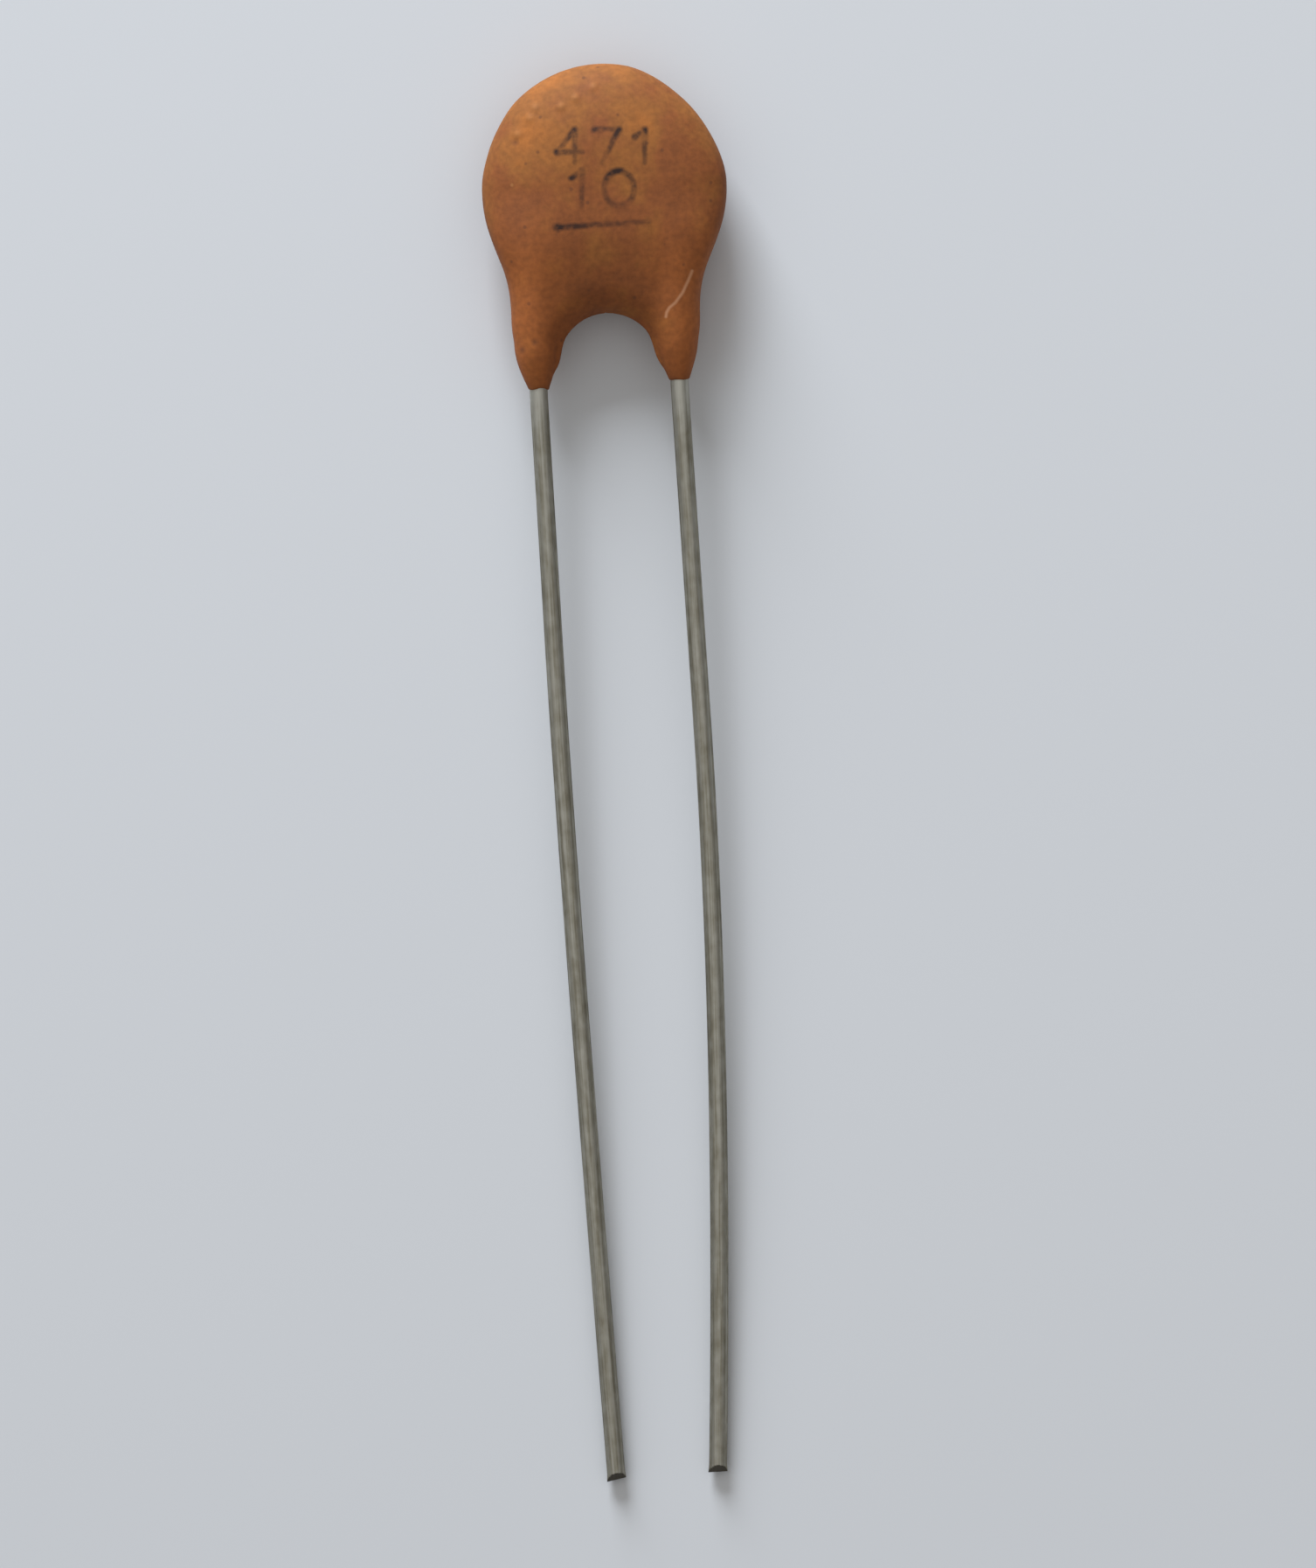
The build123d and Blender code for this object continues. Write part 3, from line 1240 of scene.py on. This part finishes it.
        # The disc's face is gently domed, and the flanks below it are flatter with tighter rims
        domed, flat = self.fullness
        power = flat + (domed - flat) * fade(down, self.radius * self.dome_share)
        size = (reach**power + level**power) ** (1 / power)
        slope = np.hypot(reach ** (power - 1) / half_width, level ** (power - 1) / half_thick)
        return (size - 1) / (size ** (1 - power) * slope)

    def leg(self, x: np.ndarray, y: np.ndarray, z: np.ndarray, side: Side) -> np.ndarray:
        """Measure the run-down on one lead, which thins to a feather edge on the wire.

        Args:
            x: Places across the disc.
            y: Places along the leads.
            z: Places through the thickness.
            side: The lead that the leg is on.

        Returns:
            Distances from the leg, negative inside.
        """
        across = x - side.value * self.half_pitch
        around = np.arctan2(z, across)
        # Two slow waves around the wire, from 0 to 4, leave the edge of the resin ragged
        edge = 2 + np.sin(2 * around + side.value) + np.sin(3 * around + 2 * side.value)
        above = y - self.exits[side] - self.ragged * edge / 4
        # The taper starts without a kink and bulges most about halfway down
        near = np.clip(1 - above / self.taper, 0, 1)
        share = near**3 * (1 + self.taper_round * (1 - near))
        radius = self.edge_radius + (self.leg_radius - self.edge_radius) * (1 - share)
        across = across - self.lean * (1 - share)
        rise = np.maximum(y + self.radius * self.root_share, 0)
        root = 1 - fade(rise, self.radius * self.root_span_share)
        tall = 1 + (self.leg_tall - 1) * np.clip(above / self.tall_span, 0, 1) ** self.tall_power
        column = np.hypot(across, z / tall) - radius + self.root_sink * self.leg_radius * root
        return blend_max(column, -above, self.edge_blend)

    def field(self, points: np.ndarray) -> np.ndarray:
        """Measure how far points are from the skin, negative inside.

        Args:
            points: Places from the middle of the disc, one row each.

        Returns:
            Signed distances, near enough for meshing.
        """
        x, y, z = points[..., 0], points[..., 1], points[..., 2]
        arch_radius = self.half_pitch - self.leg_radius
        arch_middle = -self.arch_top - arch_radius
        # Below the arch's top the body draws back and leaves the legs standing
        gone = 1 - fade(np.maximum(-y - self.arch_top - self.draw_drop, 0), self.draw_span)
        body = self.lens(x, y, z) + self.draw_back * gone
        to_arch = np.where(y > arch_middle, np.hypot(x, y - arch_middle), np.abs(x))
        skin = blend_max(body, arch_radius - self.lip - to_arch, self.arch_blend)
        for side in Side:
            skin = blend_min(skin, self.leg(x, y, z, side), self.flank_blend)
        skin = skin - np.where(z > 0, self.blemishes.relief(x, y), 0)
        skin = blend_max(skin, np.abs(z) - self.half_thickness, self.face_blend)
        return skin + self.ripple(points)

    def ripple(self, points: np.ndarray) -> np.ndarray:
        """Draw the slight unevenness that a dip leaves, mostly a little below the nominal skin.

        Args:
            points: Places from the middle of the disc, one row each.

        Returns:
            Depths below the nominal skin.
        """
        draw = np.random.default_rng(self.seed)
        total = np.zeros(points.shape[:-1])
        for length, height, count in self.waves:
            for _ in range(count):
                way = draw.normal(size=3)
                way *= 2 * np.pi / length / np.linalg.norm(way)
                total += height * np.sin(points @ way + draw.uniform(0, 2 * np.pi))
        return total * self.wave_share + self.waves[0][1] * self.wave_sink

    def build(self) -> bpy.types.Object:
        """Mesh the skin and settle its corners onto the field.

        Returns:
            The closed skin, in place, with an attribute for its thin ends.
        """
        lowest = min(self.exits.values())
        spare = self.spare_cells * self.cell
        low = np.array([-self.radius, lowest, -self.half_thickness]) - spare
        high = np.array([self.radius, self.radius, self.half_thickness]) + spare
        axes = [np.arange(a, b, self.cell) for a, b in zip(low, high)]
        grid = np.stack(np.meshgrid(*axes, indexing="ij"), axis=-1)
        points, quads = surface_nets(self.field(grid), low, self.cell)
        step = self.probe_share * self.cell
        for _ in range(self.settle_steps):
            value = self.field(points)
            rises = [self.field(points + step * e) - self.field(points - step * e) for e in np.eye(3)]
            slope = np.stack(rises, axis=-1) / (2 * step)
            steep = np.maximum((slope**2).sum(axis=1), self.least_slope)
            points = points - value[:, None] * slope / steep[:, None]
        ends = np.where(points[:, 0] < 0, self.exits[Side.LEFT], self.exits[Side.RIGHT])
        thin = np.clip(1 - (points[:, 1] - ends) / self.film, 0, 1)
        points[:, 2] += self.half_thickness
        piece = mesh_piece("resin_coat", points, quads)
        mark(piece, "thin", thin)
        return piece

    def dress(self, piece: bpy.types.Object, finish: DippedResin) -> None:
        """Give the skin its finish and let it stand for the solid coat.

        Args:
            piece: The skin.
            finish: The resin that it is made of.
        """
        piece.data.materials.append(finish.build())
        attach(piece, BODY)
        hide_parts("coating")


@dataclass(frozen=True)
class Handling:
    """How one lead was dipped, bent and cut by hand."""

    # Height of the leg's end over that of the longer leg
    leg_rise: float
    # Corners of the free length: (share of it along, drift to the right as a share of it)
    route_shares: tuple[Pair, ...]
    skew_deg: float
    seed: int


HANDLING = {
    Side.LEFT: Handling(
        leg_rise=0.0,
        route_shares=((0.4565, 0.0162), (1.0, 0.047)),
        skew_deg=-9.0,
        seed=3,
    ),
    Side.RIGHT: Handling(
        leg_rise=0.22,
        route_shares=((0.6155, 0.026), (1.0, 0.0109)),
        skew_deg=-4.0,
        seed=11,
    ),
}


@dataclass
class WireLead:
    """One lead: round wire, cranked onto its face of the disc, with a pinched cut at its free end."""

    side: Side
    exit_y: float
    handling: Handling
    coat_half: float
    coat_radius: float
    arch_top: float
    half_pitch: float
    radius: float
    wire_height: float
    free_length: float = 38.78
    # The soldered end, in shares of the coat's radius
    tip_shares: Pair = (0.16, 0.14)
    # The crank, in shares of half the pitch across and of the coat's radius down
    crank_shares: Pair = (0.84, 0.667)
    # The bend below the coat, and how many drops of straight wire lie before and after it
    exit_drop: float = 0.15
    drops_before: int = 2
    drops_after: int = 3
    spline_order: int = 3
    spline_steps: int = 64
    # The pinched cut: half angle, flare of its sides, rings in lengths of its bevel, and reach of its skew
    cut_deg: float = 48.0
    flare: float = 0.08
    nose_start: float = 1.5
    nose_rings: tuple[float, ...] = (1.3, 1.12, 1.02, 0.97, 0.85, 0.7, 0.55, 0.4, 0.25, 0.14, 0.08)
    skew_reach: float = 1.6
    fresh_mm: float = 1.8
    segments: int = 48
    ring_mm: float = 0.16
    # Die lines: depth, waves around the wire, how fine ones weaken, and how they wander and fade along it
    groove: float = 0.03
    groove_orders: tuple[int, ...] = (3, 5, 8, 13)
    groove_fall: float = 0.6
    wander: float = 0.5
    wander_stops: int = 12
    depth_span: Pair = (0.2, 1.0)
    depth_stops: int = 9
    # The two leads read their patterns this far apart for each step of the seed
    pattern_shift: float = 50.0

    def bevel(self) -> float:
        """Give the length of the pinched end."""
        return self.radius / math.tan(math.radians(self.cut_deg))

    def corners(self) -> list[Vector]:
        """Find the corners of the route.

        Returns:
            Places from the soldered end to the cut end.
        """
        sign = self.side.value
        level = self.coat_half - sign * self.wire_height
        tip = self.radius - self.bevel() * (self.coat_half - self.radius) / self.free_length
        at = sign * self.half_pitch
        aside, up = (share * self.coat_radius for share in self.tip_shares)
        crank_aside, crank_down = at * self.crank_shares[0], self.coat_radius * self.crank_shares[1]
        points = [
            Vector((sign * aside, up, level)),
            Vector((crank_aside, -crank_down, level)),
            Vector((at, -self.arch_top, self.coat_half)),
            Vector((at, self.exit_y + self.drops_before * self.exit_drop, self.coat_half)),
        ]
        start = Vector((at, self.exit_y, self.coat_half))
        corner = start - Vector((0.0, self.exit_drop, 0.0))
        fall = self.coat_half - tip
        free = [
            start + Vector((drift * self.free_length, -along * self.free_length, -along * fall))
            for along, drift in self.handling.route_shares
        ]
        after = corner + (free[0] - corner).normalized() * self.drops_after * self.exit_drop
        return [*points, corner, after, *free]

    def line(self) -> np.ndarray:
        """Read points along a smooth spline that has the corners as its control points.

        Returns:
            For each ring its place and the length of wire that is left after it.
        """
        curve = bpy.data.curves.new("lead_route", "CURVE")
        curve.dimensions = "3D"
        corners = self.corners()
        spline = curve.splines.new("NURBS")
        spline.points.add(len(corners) - 1)
        for point, corner in zip(spline.points, corners):
            point.co = (*corner, 1.0)
        spline.order_u = self.spline_order
        spline.use_endpoint_u = True
        spline.resolution_u = self.spline_steps
        holder = bpy.data.objects.new("lead_route", curve)
        drawn = bpy.data.meshes.new_from_object(holder)
        places = np.array([v.co[:] for v in drawn.vertices])
        bpy.data.objects.remove(holder)
        bpy.data.curves.remove(curve)
        bpy.data.meshes.remove(drawn)
        gaps = np.linalg.norm(np.diff(places, axis=0), axis=1)
        run = np.concatenate([[0], np.cumsum(gaps)])
        body = np.arange(0, run[-1] - self.bevel() * self.nose_start, self.ring_mm)
        nose = run[-1] - self.bevel() * np.array(self.nose_rings)
        stops = np.concatenate([body, nose])
        return np.stack([np.interp(stops, run, places[:, i]) for i in range(3)] + [run[-1] - stops], axis=1)

    def die_lines(self, to_go: np.ndarray, turn: np.ndarray) -> np.ndarray:
        """Draw the shallow lengthwise grooves that the die left.

        Args:
            to_go: Length of wire that is left after each ring.
            turn: Angles around the wire.

        Returns:
            Height at each ring and angle, zero or below, as a share of the groove.
        """
        draw = np.random.default_rng(self.handling.seed)
        lines = np.zeros((len(to_go), len(turn)))
        for order in self.groove_orders:
            drift = np.cumsum(draw.normal(0, self.wander, self.wander_stops))
            wander = np.interp(to_go, np.linspace(0, to_go.max(), self.wander_stops), drift)
            depths = draw.uniform(*self.depth_span, self.depth_stops)
            depth = np.interp(to_go, np.linspace(0, to_go.max(), self.depth_stops), depths)
            wave = (np.cos(order * turn + wander[:, None]) - 1) / 2
            lines += depth[:, None] / order**self.groove_fall * wave
        return lines

    def faces(self, count: int) -> list[tuple[int, ...]]:
        """Join the rings with quads and close both ends.

        Args:
            count: Number of rings.

        Returns:
            Corner numbers of each face.
        """
        found = []
        for row in range(count - 1):
            for step in range(self.segments):
                a = row * self.segments + step
                b = row * self.segments + (step + 1) % self.segments
                found.append((a, b, b + self.segments, a + self.segments))
        found.append(tuple(range(self.segments - 1, -1, -1)))
        last = (count - 1) * self.segments
        found.append(tuple(last + step for step in range(self.segments)))
        return found

    def build(self) -> bpy.types.Object:
        """Loft the wire ring by ring.

        Returns:
            The wire, with attributes for its lengthwise lines, its sheared end and its fresh tin.
        """
        rows = self.line()
        centre, to_go = rows[:, :3], rows[:, 3]
        way = np.gradient(centre, axis=0)
        way /= np.linalg.norm(way, axis=1)[:, None]
        across = np.cross(way, np.array([0.0, 0.0, 1.0]))
        across /= np.linalg.norm(across, axis=1)[:, None]
        up = np.cross(across, way)
        turn = np.linspace(0, 2 * np.pi, self.segments, endpoint=False)
        radius = self.radius * (1 + self.groove * self.die_lines(to_go, turn))
        # Two blades pinch the wire to a wedge, and press its sides out a little
        bevels = (to_go / self.bevel())[:, None]
        sideways = radius * np.cos(turn) * (1 + self.flare * np.clip(1 - bevels, 0, 1))
        upward = radius * np.sin(turn)
        wedge = (to_go * math.tan(math.radians(self.cut_deg)))[:, None]
        clipped = np.clip(upward, -wedge, wedge)
        cut = (np.abs(upward) > np.abs(clipped) + TINY).astype(float)
        # The cutter was held at a slant, which takes one side of the end back
        skew = math.tan(math.radians(self.handling.skew_deg))
        slip = skew * sideways + abs(skew) * np.abs(sideways).max()
        slip = slip * np.clip(self.skew_reach - bevels, 0, 1)
        rings = centre[:, None] + sideways[..., None] * across[:, None] + clipped[..., None] * up[:, None]
        rings -= slip[..., None] * way[:, None]
        name = "left_wire" if self.side is Side.LEFT else "right_wire"
        piece = mesh_piece(name, rings.reshape(-1, 3), self.faces(len(rows)))
        drawn = np.empty(rings.shape)
        drawn[..., 0] = np.cos(turn)
        drawn[..., 1] = np.sin(turn)
        drawn[..., 2] = to_go[:, None] + self.handling.seed * self.pattern_shift
        piece.data.attributes.new("drawn", "FLOAT_VECTOR", "POINT").data.foreach_set("vector", drawn.ravel())
        mark(piece, "cut", cut.ravel())
        fresh = np.clip(1 - (self.exit_y - centre[:, 1]) / self.fresh_mm, 0, 1)
        mark(piece, "fresh", fresh.repeat(self.segments))
        return piece

    def dress(self, piece: bpy.types.Object, material: bpy.types.Material) -> None:
        """Give the wire its finish and let it stand for the solid lead.

        Args:
            piece: The wire.
            material: The finish that both wires share.
        """
        node = "left_lead" if self.side is Side.LEFT else "right_lead"
        piece.data.materials.append(material)
        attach(piece, BODY)
        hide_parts(node)


@dataclass
class Table:
    """Pale table top, low soft light from the upper left and a pale surround."""

    card: MattCard = MattCard()
    half_width_mm: float = 1500.0
    lamp: str = "#F0F6FF"
    lamp_power: float = 3.2
    lamp_size_mm: float = 220.0
    lamp_distance_mm: float = 450.0
    lamp_from_deg: float = 106.0
    lamp_height_deg: float = 21.0
    lamp_aim_mm: tuple[float, float, float] = (0.0, -8.0, 0.0)
    # The surround is brightest this way, and brightens between these shares of facing it
    sky: str = "#F4F3F2"
    brightest: tuple[float, float, float] = (-0.16, 0.1, 0.98)
    facing_span: Pair = (0.2, 0.9)
    level_strength: float = 0.2
    overhead_strength: float = 0.64

    def build(self) -> bpy.types.Object:
        """Make the table top, the lamp and the surround.

        Returns:
            The table top.
        """
        half = self.half_width_mm
        corners = [(-half, -half, 0.0), (half, -half, 0.0), (half, half, 0.0), (-half, half, 0.0)]
        floor = mesh_piece("table_top", np.array(corners), [(0, 1, 2, 3)])
        floor.data.materials.append(self.card.build())
        self.hang_lamp()
        self.light_surround()
        return floor

    def hang_lamp(self) -> None:
        """Hang one broad lamp, low over the far side of the disc."""
        data = bpy.data.lights.new("window_lamp", "AREA")
        data.energy = self.lamp_power
        data.color = srgb(self.lamp)[:3]
        data.size = self.lamp_size_mm * MM
        lamp = bpy.data.objects.new("window_lamp", data)
        turn, rise = math.radians(self.lamp_from_deg), math.radians(self.lamp_height_deg)
        way = Vector((math.cos(turn) * math.cos(rise), math.sin(turn) * math.cos(rise), math.sin(rise)))
        lamp.location = (Vector(self.lamp_aim_mm) + way * self.lamp_distance_mm) * MM
        lamp.rotation_euler = (-way).to_track_quat("-Z", "Y").to_euler()
        bpy.context.scene.collection.objects.link(lamp)

    def light_surround(self) -> None:
        """Light the scene softly, most from overhead and a little more from the lamp's side."""
        world = bpy.data.worlds.new("pale_surround")
        world.use_nodes = True
        tree = world.node_tree
        tree.nodes.clear()
        way = add(tree, "ShaderNodeTexCoord").outputs["Generated"]
        towards = add(tree, "ShaderNodeVectorMath", {0: way, 1: self.brightest}, operation="DOT_PRODUCT")
        low, high = self.facing_span
        rise = add(
            tree,
            "ShaderNodeMapRange",
            {
                0: towards.outputs["Value"],
                FROM_LOW: low,
                FROM_HIGH: high,
                TO_LOW: self.level_strength,
                TO_HIGH: self.overhead_strength,
            },
        )
        glow = add(tree, "ShaderNodeBackground", {"Color": srgb(self.sky), "Strength": rise.outputs[0]})
        add(tree, "ShaderNodeOutputWorld", {"Surface": glow.outputs[0]})
        bpy.context.scene.world = world


def dress_inside(frame: dict[str, Any]) -> None:
    """Give the sealed inner pieces their finishes.

    Args:
        frame: The loaded frame, with its nodes by name.
    """
    finishes = {
        "dielectric_disc": CERAMIC.build(),
        "front_electrode": SILVER.build(),
        "front_solder": SOLDER.build(),
    }
    finishes["rear_electrode"] = finishes["front_electrode"]
    finishes["rear_solder"] = finishes["front_solder"]
    for name, material in finishes.items():
        node = frame["nodes"][name]
        node.data.materials.clear()
        node.data.materials.append(material)
        LOG.info("dressed inner piece %s", name)


def main() -> None:
    """Build the view, the coat, the leads and the table in order."""
    logging.basicConfig(level=logging.INFO, format="%(name)s: %(message)s")
    bpy.context.scene.view_settings.view_transform = "Standard"
    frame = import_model()
    view = PhotoView()
    view.build()
    low, high = (np.array(corner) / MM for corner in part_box("coating"))
    radius = (high[0] - low[0]) / 2
    exits = {side: low[1] + HANDLING[side].leg_rise for side in Side}
    blemishes = Blemishes(view)
    coat = DippedCoat(radius=radius, half_thickness=high[2] / 2, exits=exits, blemishes=blemishes)
    skin = coat.build()
    coat.dress(skin, DippedResin(Stamp(view), blemishes, view))
    LOG.info("built %s with %d faces", skin.name, len(skin.data.polygons))
    lead_radius = next(m["dims"]["r_mm"] for m in frame["record"]["mounts"] if m["name"] == "left_lead_end")
    wire = TinnedWire(lead_radius).build()
    wire_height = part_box("left_lead")[1][2] / MM - lead_radius - coat.half_thickness
    for side in Side:
        lead = WireLead(
            side=side,
            exit_y=exits[side],
            handling=HANDLING[side],
            coat_half=coat.half_thickness,
            coat_radius=radius,
            arch_top=coat.arch_top,
            half_pitch=coat.half_pitch,
            radius=lead_radius,
            wire_height=wire_height,
        )
        piece = lead.build()
        lead.dress(piece, wire)
        LOG.info("built %s with %d faces", piece.name, len(piece.data.polygons))
    dress_inside(frame)
    floor = Table().build()
    LOG.info("built %s", floor.name)


if __name__ == "__main__":
    main()
